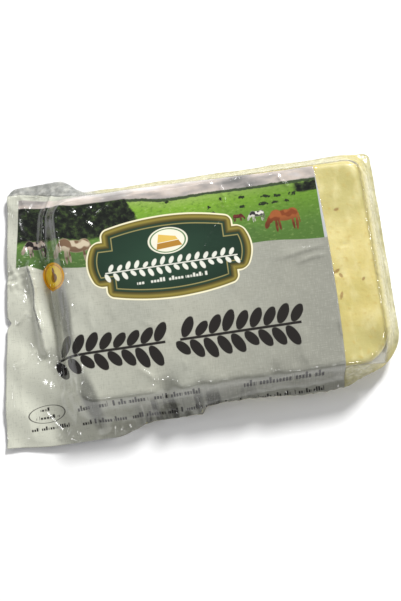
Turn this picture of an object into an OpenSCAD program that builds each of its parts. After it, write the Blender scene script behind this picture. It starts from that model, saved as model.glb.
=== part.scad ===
// Halloumi block sealed in a flat vacuum pouch, lying with its printed side up.
// Millimetres. +X runs along the block away from the sealed mouth, +Y across it, +Z up.
// The origin is the middle of the pack's footprint, on the surface that it rests on.
// Two film sheets wrap the block and meet at a seam all round it. Past the seam they lie
// together as a narrow flange, and at the mouth end as a broad flap with creases in it.

/* [Pouch] */
// Length of the pouch, over the mouth flap and the end flange
pouch_length = 156; // [144:1:198]
// Width of the pouch where it lies flat, at the mouth end
pouch_width = 101.5; // [97:0.5:122]
// How far the mouth's front corner sticks out past its rear corner
mouth_skew = 14; // [0:1:20]
// Thickness of the two welded sheets
film_thickness = 0.9; // [0.6:0.1:2]

/* [Cheese block] */
// Length of the block
block_length = 122; // [98:1:132]
// Width of the block
block_width = 80; // [64:1:86]
// Height of the block
block_height = 21; // [14:1:32]
// Radius of the block's corners, seen from above
block_corner = 8; // [4:1:16]
// Radius of its worn corner, at the front of the far end
worn_corner = 14; // [4:1:20]
// How far the block's middle lies to the rear of the pouch's middle
block_offset = 1.5; // [0:0.5:3]

/* [Flange] */
// Width of the flange along the front of the block
front_flange = 6; // [3:0.5:9]
// How much wider the flange is where the flap runs out into it
front_fold = 2.2; // [0:0.1:4]
// Width of the flange along the rear of the block
rear_flange = 4; // [2:0.5:7]
// Width of the flange past the end of the block
end_flange = 4.5; // [2:0.5:8]
// Height of the seam on the block's side
seam_height = 8; // [4:0.5:14]
// Distance over which the flange droops from the seam
seam_reach = 11; // [5:0.5:20]
// Height at which the drooped flap lies
flap_height = 1.2; // [0.6:0.1:3]

/* [Film] */
// Softness of the film's fall at the block's sides
wall_softness = 1.1; // [0.6:0.1:2]
// Softness of the film's fall at the mouth end, where it bridges
mouth_softness = 1.9; // [1.2:0.1:4]
// Height of the ripples along the flange
ripple_height = 0.9; // [0:0.1:2]
// Spacing of the ripples along the flange
ripple_pitch = 23; // [12:1:40]
// Depth of the sag in the film over the middle of the block
top_sag = 0.7; // [0:0.1:2]

/* [Mouth] */
// Where the front of the flap steps in to the flange, from the block's mouth end
front_step = 48; // [40:1:70]
// Where the rear ear of the flap ends, from the block's mouth end
ear_end = 13; // [10:1:30]
// Depth of the tear notch in the mouth's edge
notch_depth = 1.5; // [0:0.1:3]
// Place of the tear notch, as a share of the mouth's length from its front corner
notch_place = 0.48; // [0.2:0.01:0.8]

/* [Hidden] */

film_colour = [0.70, 0.71, 0.65];

half_length = pouch_length / 2;
half_width = pouch_width / 2;
block_end = half_length - end_flange;
block_mouth = block_end - block_length;
block_front = block_offset - block_width / 2;
block_rear = block_offset + block_width / 2;
block_middle = (block_mouth + block_end) / 2;
ear_corner = 3;                     // radius of the pouch's rear corner at the end
worn_flange = 3;                    // width of the flange round the worn corner
flap_start = (mouth_skew - half_length + block_mouth) / 2;  // left of this line the film is all flap
rim_inset = 7;                      // how far in from the block's sides the close grid lines reach
rim_outset = 2.5;                   // and how far out
edge_wave = 0.9;                    // depth of the waves in the flange's edge
corner_rise = 1.6;                  // how far the mouth's front corner is drawn in
flap_lift = 0.3;                    // least height of the film's underside past the block

// Creases of the flap and flange: where each ridge starts and ends, its height and half width
creases = [
    [[block_mouth - 12, 24], [block_mouth - 9, -6], 2.4, 2.2],
    [[block_mouth - 4, -24], [block_mouth + 8, -half_width], 1.8, 2.6],
    [[block_mouth + 22, block_front - 1], [block_mouth + 24, -half_width], 2.6, 1.8],
    [[block_mouth + 42, block_front + 2], [block_mouth + front_step, -half_width], 3.0, 1.6],
    [[block_mouth + 2, block_rear - 6], [block_mouth - 6, half_width], 2.2, 2.4],
    [[block_mouth + 6, block_rear], [block_mouth + 4, half_width], 1.6, 1.8],
];

// --- numbers --------------------------------------------------------------

function mix(a, b, share) = a + (b - a) * share;
function clamp(x, low, high) = min(max(x, low), high);
function smooth(from, to, x) = let (t = clamp((x - from) / (to - from), 0, 1)) t * t * (3 - 2 * t);
function bump(x, middle, half) = exp(-pow((x - middle) / half, 2));

// n equal steps from a to b, leaving out the last place so that runs join up
function run(a, b, n) = [for (i = [0:n - 1]) a + (b - a) * i / n];

// --- outline, seen from above ----------------------------------------------

// How much a rounded corner of radius r takes off, at x, where the end is at limit
function corner_cut(x, limit, r) =
    let (t = clamp((x - (limit - r)) / r, 0, 1)) r * (1 - sqrt(1 - t * t));

function front_edge(x) =
    let (step_x = block_mouth + front_step,
         flange_y = block_front - front_flange - edge_wave * cos((x - 42) * 6),
         fold_y = block_front - front_flange - front_fold,
         fold = mix(-half_width, fold_y, smooth(step_x - 36, step_x - 18, x)),
         worn_y = block_front - worn_flange)
    max(-half_width, mix(mix(fold, flange_y, smooth(step_x - 1.5, step_x + 1.5, x)),
                         worn_y, smooth(block_end - 20, block_end - 8, x)))
    + corner_rise * smooth(block_mouth - 10, -half_length, x)
    + corner_cut(x, half_length, worn_corner + worn_flange);

function rear_edge(x) =
    let (ear_x = block_mouth + ear_end,
         flange_y = min(block_rear + rear_flange, half_width),
         ear = 1 - smooth(ear_x - 9, ear_x + 2, x))
    mix(flange_y, half_width, ear)
    - 0.3 * (1 + sin(x * 360 / ripple_pitch)) * (1 - ear)
    - corner_cut(x, half_length, ear_corner)
    - corner_cut(-x, half_length - mouth_skew + 1, 6);

// Left edge of the mouth at a share v of its length, from its front corner
function mouth_edge(v) =
    -half_length + (mouth_skew - 1) * v - 0.6 * bump(v, 0.2, 0.15) * smooth(0, 0.1, v)
    + notch_depth * max(0, 1 - abs(v - notch_place) / 0.02);

// --- heights ---------------------------------------------------------------

// Distance outside the block's plan, which is a rectangle with round corners
function outside(x, y) =
    let (r = x > block_middle && y < block_offset ? worn_corner : block_corner,
         dx = abs(x - block_middle) - block_length / 2 + r,
         dy = abs(y - block_offset) - block_width / 2 + r)
    norm([max(dx, 0), max(dy, 0)]) - r + min(max(dx, dy), 0);

// 1 over the block, falling to 0 outside it
function cover(d, softness) = 1 / (1 + exp((d - softness) / softness));

function softness_at(x) = mix(mouth_softness, wall_softness, smooth(block_mouth - 2, block_mouth + 14, x));

function along(p, a, b) = clamp(((p - a) * (b - a)) / ((b - a) * (b - a)), 0, 1);

function crease_height(p, c) =
    let (t = along(p, c[0], c[1]), off = norm(p - mix(c[0], c[1], t)))
    c[2] * exp(-off / c[3]) * smooth(-0.25, 0.35, t);

function creases_at(p) = max([for (c = creases) crease_height(p, c)]);

// Middle of the two sheets past the block
function seam_at(x, y, d) =
    let (out = max(d, 0), lift = smooth(0, 5, d))
    max(flap_lift + film_thickness / 2,
        mix(flap_height, seam_height, bump(out, 0, seam_reach))
        + ripple_height * (1 + sin((x + y) * 360 / ripple_pitch)) / 2 * lift
        + creases_at([x, y]) * lift);

function top_height(x, y) =
    let (d = outside(x, y),
         c = cover(d, softness_at(x)),
         sag = top_sag * (0.5 - 0.5 * cos((x - block_mouth) * 360 / block_length))
                       * (0.5 - 0.5 * cos((y - block_front) * 360 / block_width)))
    mix(seam_at(x, y, d) + film_thickness / 2, block_height, c) - (d < 0 ? sag : 0);

function under_height(x, y) =
    let (d = outside(x, y), c = cover(d, wall_softness))
    d < -rim_inset + 1 ? 0 : (seam_at(x, y, d) - film_thickness / 2) * (1 - c) * smooth(-rim_inset, 1, d);

// --- grid ------------------------------------------------------------------

// Lines across the pouch: first the flap's, as shares of it, then places in x
flap_lines = run(0, 1, 8);
x_lines = concat(
    run(flap_start, block_mouth + rim_inset, 9),
    run(block_mouth + rim_inset, block_end - rim_inset, 22),
    run(block_end - rim_inset, block_end + rim_outset, 7),
    [block_end + rim_outset, half_length]);

// Lines along the pouch, as [kind, share]: kind 0 is the front flange, 1 is the block, 2 is the rear flange
front_lines = run(0, 1, 4);
y_lines = concat(
    run(block_front - rim_outset, block_front + rim_inset, 6),
    run(block_front + rim_inset, block_rear - rim_inset, 11),
    run(block_rear - rim_inset, block_rear + rim_outset, 6),
    [block_rear + rim_outset]);
rear_lines = [for (i = [1:3]) i / 3];

columns = len(flap_lines) + len(x_lines);
rows = len(front_lines) + len(y_lines) + len(rear_lines);

// Near a round corner the close lines give way so that rows stay in order
function row_y(x, j) =
    let (front = front_edge(x), rear = rear_edge(x),
         low = max(y_lines[0], front + 0.8),
         high = min(y_lines[len(y_lines) - 1], rear - 0.8),
         f = len(front_lines), m = len(y_lines))
    j < f ? mix(front, low, front_lines[j])
    : j < f + m ? mix(low, high, (y_lines[j - f] - y_lines[0]) / (y_lines[m - 1] - y_lines[0]))
    : mix(high, rear, rear_lines[j - f - m]);

function grid_x(i, j) =
    i < len(flap_lines) ? mix(mouth_edge(j / (rows - 1)), flap_start, flap_lines[i])
    : x_lines[i - len(flap_lines)];

function grid_point(i, j, top) =
    let (x = grid_x(i, j), y = row_y(x, j))
    [x, y, top ? top_height(x, y) : under_height(x, y)];

module pouch() {
    top = [for (i = [0:columns - 1]) for (j = [0:rows - 1]) grid_point(i, j, true)];
    under = [for (i = [0:columns - 1]) for (j = [0:rows - 1]) grid_point(i, j, false)];
    sheet = columns * rows;
    function at(i, j) = i * rows + j;
    // The rim runs once round the grid, as a list of grid places
    rim = concat(
        [for (i = [0:columns - 2]) at(i, 0)],
        [for (j = [0:rows - 2]) at(columns - 1, j)],
        [for (i = [columns - 1:-1:1]) at(i, rows - 1)],
        [for (j = [rows - 1:-1:1]) at(0, j)]);
    faces = concat(
        [for (i = [0:columns - 2]) for (j = [0:rows - 2]) for (half = [0, 1])
            half == 0 ? [at(i, j), at(i, j + 1), at(i + 1, j + 1)]
                      : [at(i, j), at(i + 1, j + 1), at(i + 1, j)]],
        [for (i = [0:columns - 2]) for (j = [0:rows - 2]) for (half = [0, 1])
            half == 0 ? [sheet + at(i, j), sheet + at(i + 1, j + 1), sheet + at(i, j + 1)]
                      : [sheet + at(i, j), sheet + at(i + 1, j), sheet + at(i + 1, j + 1)]],
        [for (k = [0:len(rim) - 1]) for (half = [0, 1])
            let (a = rim[k], b = rim[(k + 1) % len(rim)])
            half == 0 ? [a, b, sheet + b] : [a, sheet + b, sheet + a]]);
    color(film_colour)
    polyhedron(points = concat(top, under), faces = faces, convexity = 6);
}

pouch();  // cheese_pouch
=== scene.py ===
import math

import bpy
import numpy as np
from mathutils import Matrix, Vector


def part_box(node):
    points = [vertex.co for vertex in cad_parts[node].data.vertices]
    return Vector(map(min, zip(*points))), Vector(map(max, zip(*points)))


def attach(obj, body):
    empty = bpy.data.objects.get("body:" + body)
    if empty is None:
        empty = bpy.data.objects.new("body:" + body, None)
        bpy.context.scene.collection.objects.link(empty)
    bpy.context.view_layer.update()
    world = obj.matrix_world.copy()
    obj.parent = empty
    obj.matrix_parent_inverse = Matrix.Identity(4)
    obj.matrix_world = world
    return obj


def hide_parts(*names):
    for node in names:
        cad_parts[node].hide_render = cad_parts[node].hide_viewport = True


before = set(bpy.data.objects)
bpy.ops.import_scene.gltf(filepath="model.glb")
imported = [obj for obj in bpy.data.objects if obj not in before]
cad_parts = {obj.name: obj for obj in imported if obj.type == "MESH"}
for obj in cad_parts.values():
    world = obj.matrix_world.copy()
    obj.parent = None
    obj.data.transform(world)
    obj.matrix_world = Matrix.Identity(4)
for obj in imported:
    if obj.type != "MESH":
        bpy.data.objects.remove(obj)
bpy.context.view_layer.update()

# A halloumi block in a vacuum pouch. Shapes are worked out in millimetres, in the frame of the CAD
# model, and become metres only when a mesh is made.
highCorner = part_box("cheese_pouch")[1]
millimetre = 0.001

pouch = {
    "halfLength": highCorner.x / millimetre,
    "halfWidth": highCorner.y / millimetre,
    "mouthSkew": 13.0,          # the mouth's rear corner lies this far in from its front corner
    "mouthBow": 0.6,
    "notchDepth": 1.6,          # tear notch
    "notchPlace": 0.48,         # as a share of the pouch's width
    "notchShare": 0.02,         # its half width, as the same kind of share
    "rearFlange": 4.0,
    "rearWave": 0.3,            # how far the rear flange's edge waves in and out
    "frontFlange": 6.0,
    "frontWave": 0.9,
    "frontWaveLength": 60.0,
    "frontTaper": 1.6,          # how far the front edge turns in towards the mouth
    "frontFold": 2.2,           # extra width where the flap runs out into the flange
    "frontStep": 48.0,          # where that ends, from the block's mouth end
    "earEnd": 13.0,             # the wider ear ends this far past the block's mouth end
    "earCorner": 3.0,
    "wornFlange": 3.0,          # the flange's width at the block's worn corner
    "printEnd": 55.2,           # the print stops here and the clear window starts
    "sheet": 0.11,              # thickness of one film
    "seamHeight": 8.0,          # middle of the two films beside the block
    "seamReach": 11.0,          # how far out it takes to come down
    "flapHeight": 1.3,
    "lowest": 0.25,
    "tallest": 20.9,            # folds higher than this are pressed down softly
    "press": 0.6,               # how much they may still rise
    "ripple": 0.45,
    "rippleLength": 23.0,
    "printDraw": 5.7,           # how far the flap draws the print's rear part back
}

block = {
    "length": 122.0,
    "width": 80.0,
    "top": 20.35,
    "base": 0.25,
    "end": highCorner.x / millimetre - 4.5,
    "offset": 1.5,
    "corner": 8.0,
    "wornCorner": 14.0,
    "edge": 2.8,                # radius of its edges
    "inset": 0.5,               # from the film's side to the cheese's
    "gap": 0.16,                # from the cheese to the outside of the film over it
}
block["mouth"] = block["end"] - block["length"]
block["middle"] = (block["mouth"] + block["end"]) / 2
block["front"] = block["offset"] - block["width"] / 2
block["rear"] = block["offset"] + block["width"] / 2


def mix(a, b, share):
    # the value a share of the way from a to b
    return a + (b - a) * share


def ease(start, end, x):
    # 0 before start, 1 after end, with a smooth step between; start may be the larger
    t = np.clip((x - start) / (end - start), 0, 1)
    return t * t * (3 - 2 * t)


def bell(x, middle, half):
    # 1 at the middle, and e to the minus square of the distance over half elsewhere
    return np.exp(-((x - middle) / half) ** 2)


def noise(x, y, size, seed):
    # random heights from -1 to 1 on a square lattice of that size, blended by a smooth step; the
    # lattice repeats after count cells
    count = 97
    lattice = np.random.default_rng(seed).uniform(-1, 1, (count, count))
    u = x / size + 31.7
    v = y / size + 29.3
    i = np.floor(u).astype(int)
    j = np.floor(v).astype(int)
    s = ease(0, 1, u - i)
    t = ease(0, 1, v - j)
    left = i % count
    right = (i + 1) % count
    near = mix(lattice[left, j % count], lattice[right, j % count], s)
    far = mix(lattice[left, (j + 1) % count], lattice[right, (j + 1) % count], s)
    return mix(near, far, t)


def dents(x, y, size, seed):
    # shallow bowls that meet along sharp creases: the squared distance to the nearest point of a
    # jittered lattice, from 0 at a bowl's bottom to about 1 on a crease
    count = 61
    jitter = np.random.default_rng(seed).uniform(0.08, 0.92, (count, count, 2))
    bx = x / size + 0.35 * noise(x, y, size * 1.6, seed + 1) + 17.3
    by = y / size + 0.35 * noise(x, y, size * 1.6, seed + 2) + 15.8
    i = np.floor(bx).astype(int)
    j = np.floor(by).astype(int)
    best = np.full(np.shape(bx), 9.0)
    for di in (-1, 0, 1):
        for dj in (-1, 0, 1):
            spot = jitter[(i + di) % count, (j + dj) % count]
            away = (i + di + spot[..., 0] - bx) ** 2 + (j + dj + spot[..., 1] - by) ** 2
            best = np.minimum(best, away)
    return np.minimum(best, 1.0)


def crease(x, y, chain, height, left, right, fade=0.2):
    # a fold along a chain of points: its height falls off as exp(-distance / width), with one width
    # to the left of the chain and another to the right, and it fades out at both ends
    lengths = [math.dist(a, b) for a, b in zip(chain, chain[1:])]
    total = sum(lengths)
    nearest = np.full(np.shape(x), 1e9)
    side = np.zeros(np.shape(x))
    place = np.zeros(np.shape(x))
    run = 0.0
    for a, b, length in zip(chain, chain[1:], lengths):
        ux = (b[0] - a[0]) / length
        uy = (b[1] - a[1]) / length
        t = np.clip((x - a[0]) * ux + (y - a[1]) * uy, 0, length)
        away = np.hypot(x - a[0] - ux * t, y - a[1] - uy * t)
        closer = away < nearest
        nearest = np.where(closer, away, nearest)
        side = np.where(closer, ux * (y - a[1]) - uy * (x - a[0]), side)
        place = np.where(closer, (run + t) / total, place)
        run += length
    width = np.where(side > 0, left, right)
    ends = ease(0, fade, place) * ease(1, 1 - fade, place) if fade else 1.0
    return height * np.exp(-nearest / width) * ends


# the pouch seen from above


def cornerCut(x, limit, radius):
    # how much a round corner takes off the side, near an end at x = limit
    t = np.clip((x - (limit - radius)) / radius, 0, 1)
    return radius * (1 - np.sqrt(1 - t * t))


def frontEdge(x):
    # y of the front edge: straight along the flap, then out to a fold, a step in to a flange that
    # waves as a cosine, a narrower end, a taper to the mouth, a round corner, and ragged teeth
    stepX = block["mouth"] + pouch["frontStep"]
    wave = pouch["frontWave"] * np.cos(np.radians((x - 42) * 360 / pouch["frontWaveLength"]))
    flangeY = block["front"] - pouch["frontFlange"] - wave
    foldY = block["front"] - pouch["frontFlange"] - pouch["frontFold"]
    y = mix(-pouch["halfWidth"], foldY, ease(stepX - 36, stepX - 18, x))
    y = mix(y, flangeY, ease(stepX - 1.2, stepX + 1.2, x))
    y = mix(y, block["front"] - pouch["wornFlange"], ease(block["end"] - 20, block["end"] - 8, x))
    y = y + pouch["frontTaper"] * ease(block["mouth"] - 10, -pouch["halfLength"], x)
    y = y + cornerCut(x, pouch["halfLength"], block["wornCorner"] + pouch["wornFlange"])
    ragged = 0.22 * noise(x, x * 0, 2.1, 5) + 0.16 * noise(x, x * 0, 0.9, 6)
    return np.maximum(y, -pouch["halfWidth"]) + ragged * ease(-30, 0, x) + 0.2


def rearEdge(x):
    # y of the rear edge: a flange that waves as a sine, out to the ear towards the mouth, with the
    # corners rounded and fine teeth
    earX = block["mouth"] + pouch["earEnd"]
    ear = ease(earX + 2, earX - 9, x)
    y = mix(block["rear"] + pouch["rearFlange"], pouch["halfWidth"] + 1.2, ear)
    wave = 1 + np.sin(np.radians(x * 360 / pouch["rippleLength"]))
    y = y - pouch["rearWave"] * wave * (1 - ear)
    y = y - cornerCut(x, pouch["halfLength"], pouch["earCorner"])
    y = y - cornerCut(-x, pouch["halfLength"] - pouch["mouthSkew"], 4)
    return y - 0.15 - 0.15 * noise(x, x * 0, 1.6, 8)


def mouthEdge(share):
    # x of the mouth's edge at a share of the pouch's width, from the front corner
    bow = pouch["mouthBow"] * bell(share, 0.2, 0.15) * ease(0, 0.1, share)
    aside = np.abs(share - pouch["notchPlace"]) / pouch["notchShare"]
    notch = pouch["notchDepth"] * np.maximum(0, 1 - aside)
    ripple = 0.12 * noise(share * 100, share * 0, 2.3, 9)
    return -pouch["halfLength"] + 0.15 + pouch["mouthSkew"] * share - bow + notch + ripple


def printEnd(y):
    # x where the print stops: it bows back with the square of the distance from the middle
    return pouch["printEnd"] - 0.9 * (y / 40) ** 2


def printRear(x):
    # the print's rear edge: on the block's rear edge, and farther back on the flap
    return block["rear"] - 1.4 + 3.4 * ease(40, -35, x) + pouch["printDraw"] * ease(-36, -64, x)


def blockDistance(x, y, inset=0.0):
    # distance outside the block's plan, a rectangle with round corners, negative inside it
    worn = (x > block["middle"]) & (y < block["offset"])
    radius = np.where(worn, block["wornCorner"], block["corner"])
    dx = np.abs(x - block["middle"]) - block["length"] / 2 + radius + inset
    dy = np.abs(y - block["offset"]) - block["width"] / 2 + radius + inset
    return np.hypot(np.maximum(dx, 0), np.maximum(dy, 0)) - radius + np.minimum(np.maximum(dx, dy), 0)


# heights of the cheese and of the film


def cheeseSwell(x, y):
    # how far the cheese's top lies off flat: soft hollows, and a broad one at its middle
    hollows = 0.24 * noise(x, y, 14, 21) + 0.16 * noise(x, y, 6, 22)
    return hollows - 0.25 * bell(x, 5, 40) * bell(y, 0, 28)


wornSpots = [   # on the cheese's upper edge: x, y, half width, half height, depth
    (-13.5, -38, 4.0, 4.6, 4.6),
    (-1, -39, 3.0, 3.4, 2.4),
    (12, -39, 9, 2.6, 1.8),
    (27.5, -38, 2.6, 4.5, 2.0),
    (-48.6, 4, 4.0, 15, 3.4),
    (-48.5, -24, 4.5, 9, 3.2),
    (70, -34, 8, 8, 2.2),
]


def edgeSag(x, y):
    # how far the cheese's upper edge is worn down: a sum of bells
    sag = 0 * x
    for px, py, wide, high, depth in wornSpots:
        sag = sag + depth * bell(x, px, wide) * bell(y, py, high)
    return sag


def roundOver(d, radius):
    # drop of a rounded edge at distance -d inside the side: a quarter circle
    t = np.clip(1 + d / radius, 0, 1)
    return radius * (1 - np.sqrt(1 - t * t))


def seamHeight(x, y, d):
    # middle of the two films past the block: from the seam down to the flap as a bell of the
    # distance, with ripples and creases added and a few valleys taken off
    out = np.maximum(d, 0)
    lift = ease(-1, 2.5, d)
    z = mix(pouch["flapHeight"], pouch["seamHeight"], bell(out, 0, pouch["seamReach"]))
    ripples = pouch["ripple"] * (1 + np.sin(np.radians((x + y) * 360 / pouch["rippleLength"])))
    valley = 6.4 * bell(x, -51.2 - 0.06 * y, 2.7) * ease(23, 9, y) * ease(-36, -18, y)
    valley = valley + 4.2 * ease(10, -12, x) * ease(-36, -46, y) * ease(-44, -34, x)
    valley = valley + (4.6 * bell(x, -14, 4.4) + 3.2 * bell(x, 7, 6)) * ease(-37, -43, y)
    z = z - valley * ease(1, 4, d) + (ripples + seamCreases(x, y)) * lift
    return np.maximum(z, pouch["lowest"])


mouthCreases = [  # chain of points, height, width to the left, width to the right
    ([(-46, 49.5), (-48.7, 43.5), (-51.4, 37.8), (-53.6, 28), (-53.2, 18)], 2.4, 0.9, 0.7),
    ([(-54, 30), (-52.6, 22), (-51.4, 14)], 1.4, 1.0, 0.8),
    ([(-60.2, 24), (-58.8, 12), (-59.3, 3), (-57.6, -18)], 2.6, 2.2, 1.8),
    ([(-60.6, 22), (-59.0, 11), (-59.6, 3), (-58, -9)], 3.8, 1.2, 1.0),
    ([(-46, 49), (-54, 47.2), (-60, 48.5)], 1.0, 0.8, 0.8),
    ([(-46, 49), (-40, 46), (-36, 46)], 1.0, 0.6, 0.9),
    ([(-41, 49), (-39, 43), (-37, 40)], 1.2, 0.5, 0.8),
    ([(-57.8, -48.5), (-54, -46), (-51, -42)], 1.0, 0.6, 1.0),
    ([(-45, -24), (-42, -37), (-40, -49.5)], 2.8, 2.6, 1.6),
    ([(-52, -30), (-49, -40), (-50, -50)], 1.4, 2.0, 2.0),
    ([(-34, -38), (-32, -50)], 1.8, 1.6, 2.4),
    ([(-53, -25), (-49.5, -28), (-46.5, -31.5)], 1.6, 1.0, 1.4),
    ([(-55, -17), (-51, -20.5), (-49, -24)], 1.2, 0.9, 1.2),
    ([(-76, 12), (-70, 14.5), (-64, 13)], 1.0, 0.8, 1.2),
    ([(-72, -18), (-66, -17), (-61, -12)], 0.7, 1.0, 1.4),
    ([(-66, -50), (-70, -30), (-67, -8)], 0.5, 3.0, 3.0),
    ([(-68, -2), (-64, 2), (-60, -1)], 0.8, 0.6, 0.8),
]

sideCreases = [   # the same, on the flanges
    ([(-23.5, -35), (-23.8, -40), (-23.6, -49)], 4.0, 0.9, 3.2),
    ([(-18.8, -35), (-18.4, -40), (-17.6, -48)], 2.6, 1.6, 1.6),
    ([(-5.6, -30), (-3.6, -36), (-1.4, -46.5)], 4.4, 1.2, 1.0),
    ([(25.1, -30), (26.5, -36), (25.5, -42)], 1.2, 0.9, 2.6),
    ([(40, -37), (41, -42)], 0.5, 1.0, 1.6),
    ([(56, -19), (55, -27), (58, -30)], 0.8, 0.5, 0.7),
]


def seamCreases(x, y):
    # folds that run through both films of the flap and the flange, the highest at each place, with
    # dents on the flap and ear, a crumpled patch, puckers along the front and dents at the far end
    folds = np.zeros(np.shape(x))
    for chain, height, left, right in mouthCreases + sideCreases:
        folds = np.maximum(folds, crease(x, y, chain, height, left, right, 0.12))
    flap = ease(-47, -55, x)
    ear = flap * ease(40, 46, y) + bell(x, 76, 4) * bell(y, 43, 5)
    crumple = 0.9 * dents(x * 0.8, y * 0.55, 7.5, 31) * flap + 1.3 * dents(x, y, 5.2, 32) * ear
    patch = bell(x, -67, 7.5) * bell(y, 16.0, 5.0)
    patch = patch * (2.2 * dents(x * 0.6, y, 2.2, 33) + 0.7 * noise(x, y, 1.2, 34))
    front = ease(-30, -36, y) * ease(-40, -20, x)
    pucker = front * (1.25 * noise(x, y * 0.15, 5.0, 35) + 0.5 * noise(x, y * 0.25, 2.2, 36))
    right = ease(72.5, 75, x) * 0.5 * dents(x, y, 2.6, 37)
    return folds + crumple + patch + pucker + right


topCreases = [  # on the block, where the film has slipped into small sharp folds
    ([(-24.4, 36), (-29, 34), (-32.6, 31.4)], 0.9, 0.8, 0.8),
    ([(-31.6, 37), (-36.4, 32.6)], 0.9, 0.8, 0.8),
    ([(-35.8, 32), (-31.8, 28)], 0.7, 0.5, 0.55),
    ([(-39.9, 37), (-38.6, 32)], 0.9, 0.7, 0.7),
    ([(17.4, 39.5), (18.2, 33), (17.6, 27)], 0.9, 0.8, 0.9),
    ([(19, 36), (24, 32.6)], 0.2, 0.3, 0.3),
    ([(17, 26), (13.5, 21.5), (10.5, 17), (6.5, 11.5)], 1.0, 1.3, 0.9),
    ([(20.8, 9.5), (18, 5.5), (14.5, 2.4)], 0.9, 0.9, 0.7),
    ([(39, 40), (41, 35.8), (44.4, 32.2)], 0.8, 0.5, 0.6),
    ([(27, 38.5), (28.6, 35), (31, 37.5)], 0.6, 0.5, 0.5),
    ([(32, 5.8), (44, 7.8), (53, 9.0), (55.4, 11)], 1.1, 2.0, 1.0),
    ([(40, 3.0), (49, 5.2), (55, 5.0)], 0.8, 1.5, 0.5),
    ([(60, 12), (64, 4), (63, -4)], 0.35, 1.2, 0.8),
    ([(58, -16), (63, -19), (70, -18)], 0.5, 1.4, 0.9),
    ([(60, -26), (64, -33)], 0.5, 1.0, 1.2),
    ([(42, -20), (38.5, -27), (40.5, -36)], 1.5, 2.4, 1.5),
    ([(-37.5, 4), (-38.5, -6), (-37, -14)], 0.6, 1.2, 1.6),
    ([(-24, -26), (-19, -30.5), (-16, -34)], 0.8, 1.0, 1.8),
    ([(-40.6, 13), (-39.6, 3)], 0.3, 0.5, 0.7),
    ([(-37.8, 12), (-37.4, 5)], 0.25, 0.4, 0.6),
    ([(-30.5, -2), (-28.5, -8)], 0.3, 0.8, 1.0),
    ([(-21, -9), (-14, -12.5), (-8, -12)], 0.35, 0.9, 0.9),
    ([(-13, -15), (-9, -20)], 0.25, 0.9, 0.9),
    ([(64.4, 36), (61.6, 28), (58.6, 24.8), (55.6, 23)], 0.9, 0.9, 1.1),
    ([(68.5, 25), (66, 20)], 0.3, 0.7, 0.7),
    ([(60.5, 33.5), (56.5, 34)], 0.25, 0.3, 0.3),
    ([(62, 39.6), (66, 38.2), (71, 37.6), (73, 34)], 0.7, 0.4, 0.6),
    ([(54.2, -17), (54.6, -25), (57.2, -30)], 0.7, 0.4, 0.5),
    ([(57, -12), (65, -20), (70, -30)], 0.45, 2.6, 2.6),
    ([(58, -30), (66, -34), (70, -37)], 0.4, 1.8, 2.2),
    ([(-52, -24), (-48, -27.5), (-46, -31)], 0.9, 0.6, 0.9),
    ([(-5.8, -26), (-5.2, -31)], 0.5, 0.8, 0.5),
]


def topWrinkles(x, y, d):
    # the film where it lies on the block: the highest fold at each place, with fine dents that
    # sparkle, soft dents, crinkled edges and crinkles near the mouth
    folds = np.zeros(np.shape(x))
    for chain, height, left, right in topCreases:
        folds = np.maximum(folds, crease(x, y, chain, height, left, right, 0.35))
    sparkle = bell(x, 12, 4.5) * bell(y, 19, 6) + bell(x, 17.5, 3.5) * bell(y, 6, 3.5)
    sparkle = sparkle + bell(x, 30, 7) * bell(y, 20, 5) + 0.6 * bell(x, 48, 4) * bell(y, 24, 6)
    fine = 0.36 * dents(x, y, 1.6, 41) * np.minimum(sparkle, 1)
    soft = 0.22 * dents(x, y, 15, 42) + 0.07 * noise(x, y, 4, 43)
    edges = bell(d, -1.2, 2.8) * (0.34 * noise(x, y, 3.1, 44) + 0.34 * dents(x, y, 3.6, 45))
    mouth = bell(x, block["mouth"] + 1, 5) * 0.35 * noise(x * 0.6, y, 5, 46)
    return folds + fine + soft + edges + mouth


def cheeseTop(x, y, z):
    # height of the cheese's surface where its plain shape is at height z over its base: the swell
    # and the worn edges come in over its upper half
    height = block["top"] - block["base"]
    swell = cheeseSwell(x, y) * ease(0, -6, blockDistance(x, y)) - edgeSag(x, y)
    return block["base"] + z + swell * ease(height / 2, height, z)


def frontHeight(x, y):
    # the printed side's film: on the block's top it lies on the cheese, then it falls as a logistic
    # curve to the seam, more gently at the mouth; what is left over the tallest height is pressed
    # down by a tanh
    d = blockDistance(x, y)
    bridge = ease(block["mouth"] + 16, block["mouth"] - 2, x)
    bridge = np.maximum(bridge, 0.85 * ease(6, -8, x) * ease(-20, -32, y))
    softness = mix(0.95, 1.4, bridge)
    cover = 1 / (1 + np.exp((d - softness) / softness))
    onTop = block["top"] + block["gap"] + cheeseSwell(x, y) * ease(0, -6, d) - edgeSag(x, y)
    seam = seamHeight(x, y, d) + pouch["sheet"]
    z = mix(seam, onTop, cover)
    inside = np.minimum(d + block["inset"], 0)
    plain = block["top"] - block["base"] - roundOver(inside, block["edge"])
    onCheese = np.where(d < -block["inset"], cheeseTop(x, y, plain) + block["gap"], 0)
    z = np.maximum(np.maximum(z, onCheese) + topWrinkles(x, y, d) * cover * cover, onCheese)
    excess = np.maximum(z - pouch["tallest"], 0)
    return z - excess + pouch["press"] * np.tanh(excess / pouch["press"])


def backHeight(x, y):
    # the other film: nearly flat under the block, then up to the seam as a logistic curve, with
    # shallow dents on the base
    d = blockDistance(x, y)
    cover = 1 / (1 + np.exp((d - 1.1) / 1.1))
    seam = seamHeight(x, y, d) - 0.02 - pouch["sheet"]
    return seam * (1 - cover) * ease(-6, 1, d) + 0.08 * dents(x, y, 9, 51) * ease(0, -4, d)


# meshes


printScale = 0.01       # from millimetres to the UV map


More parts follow.
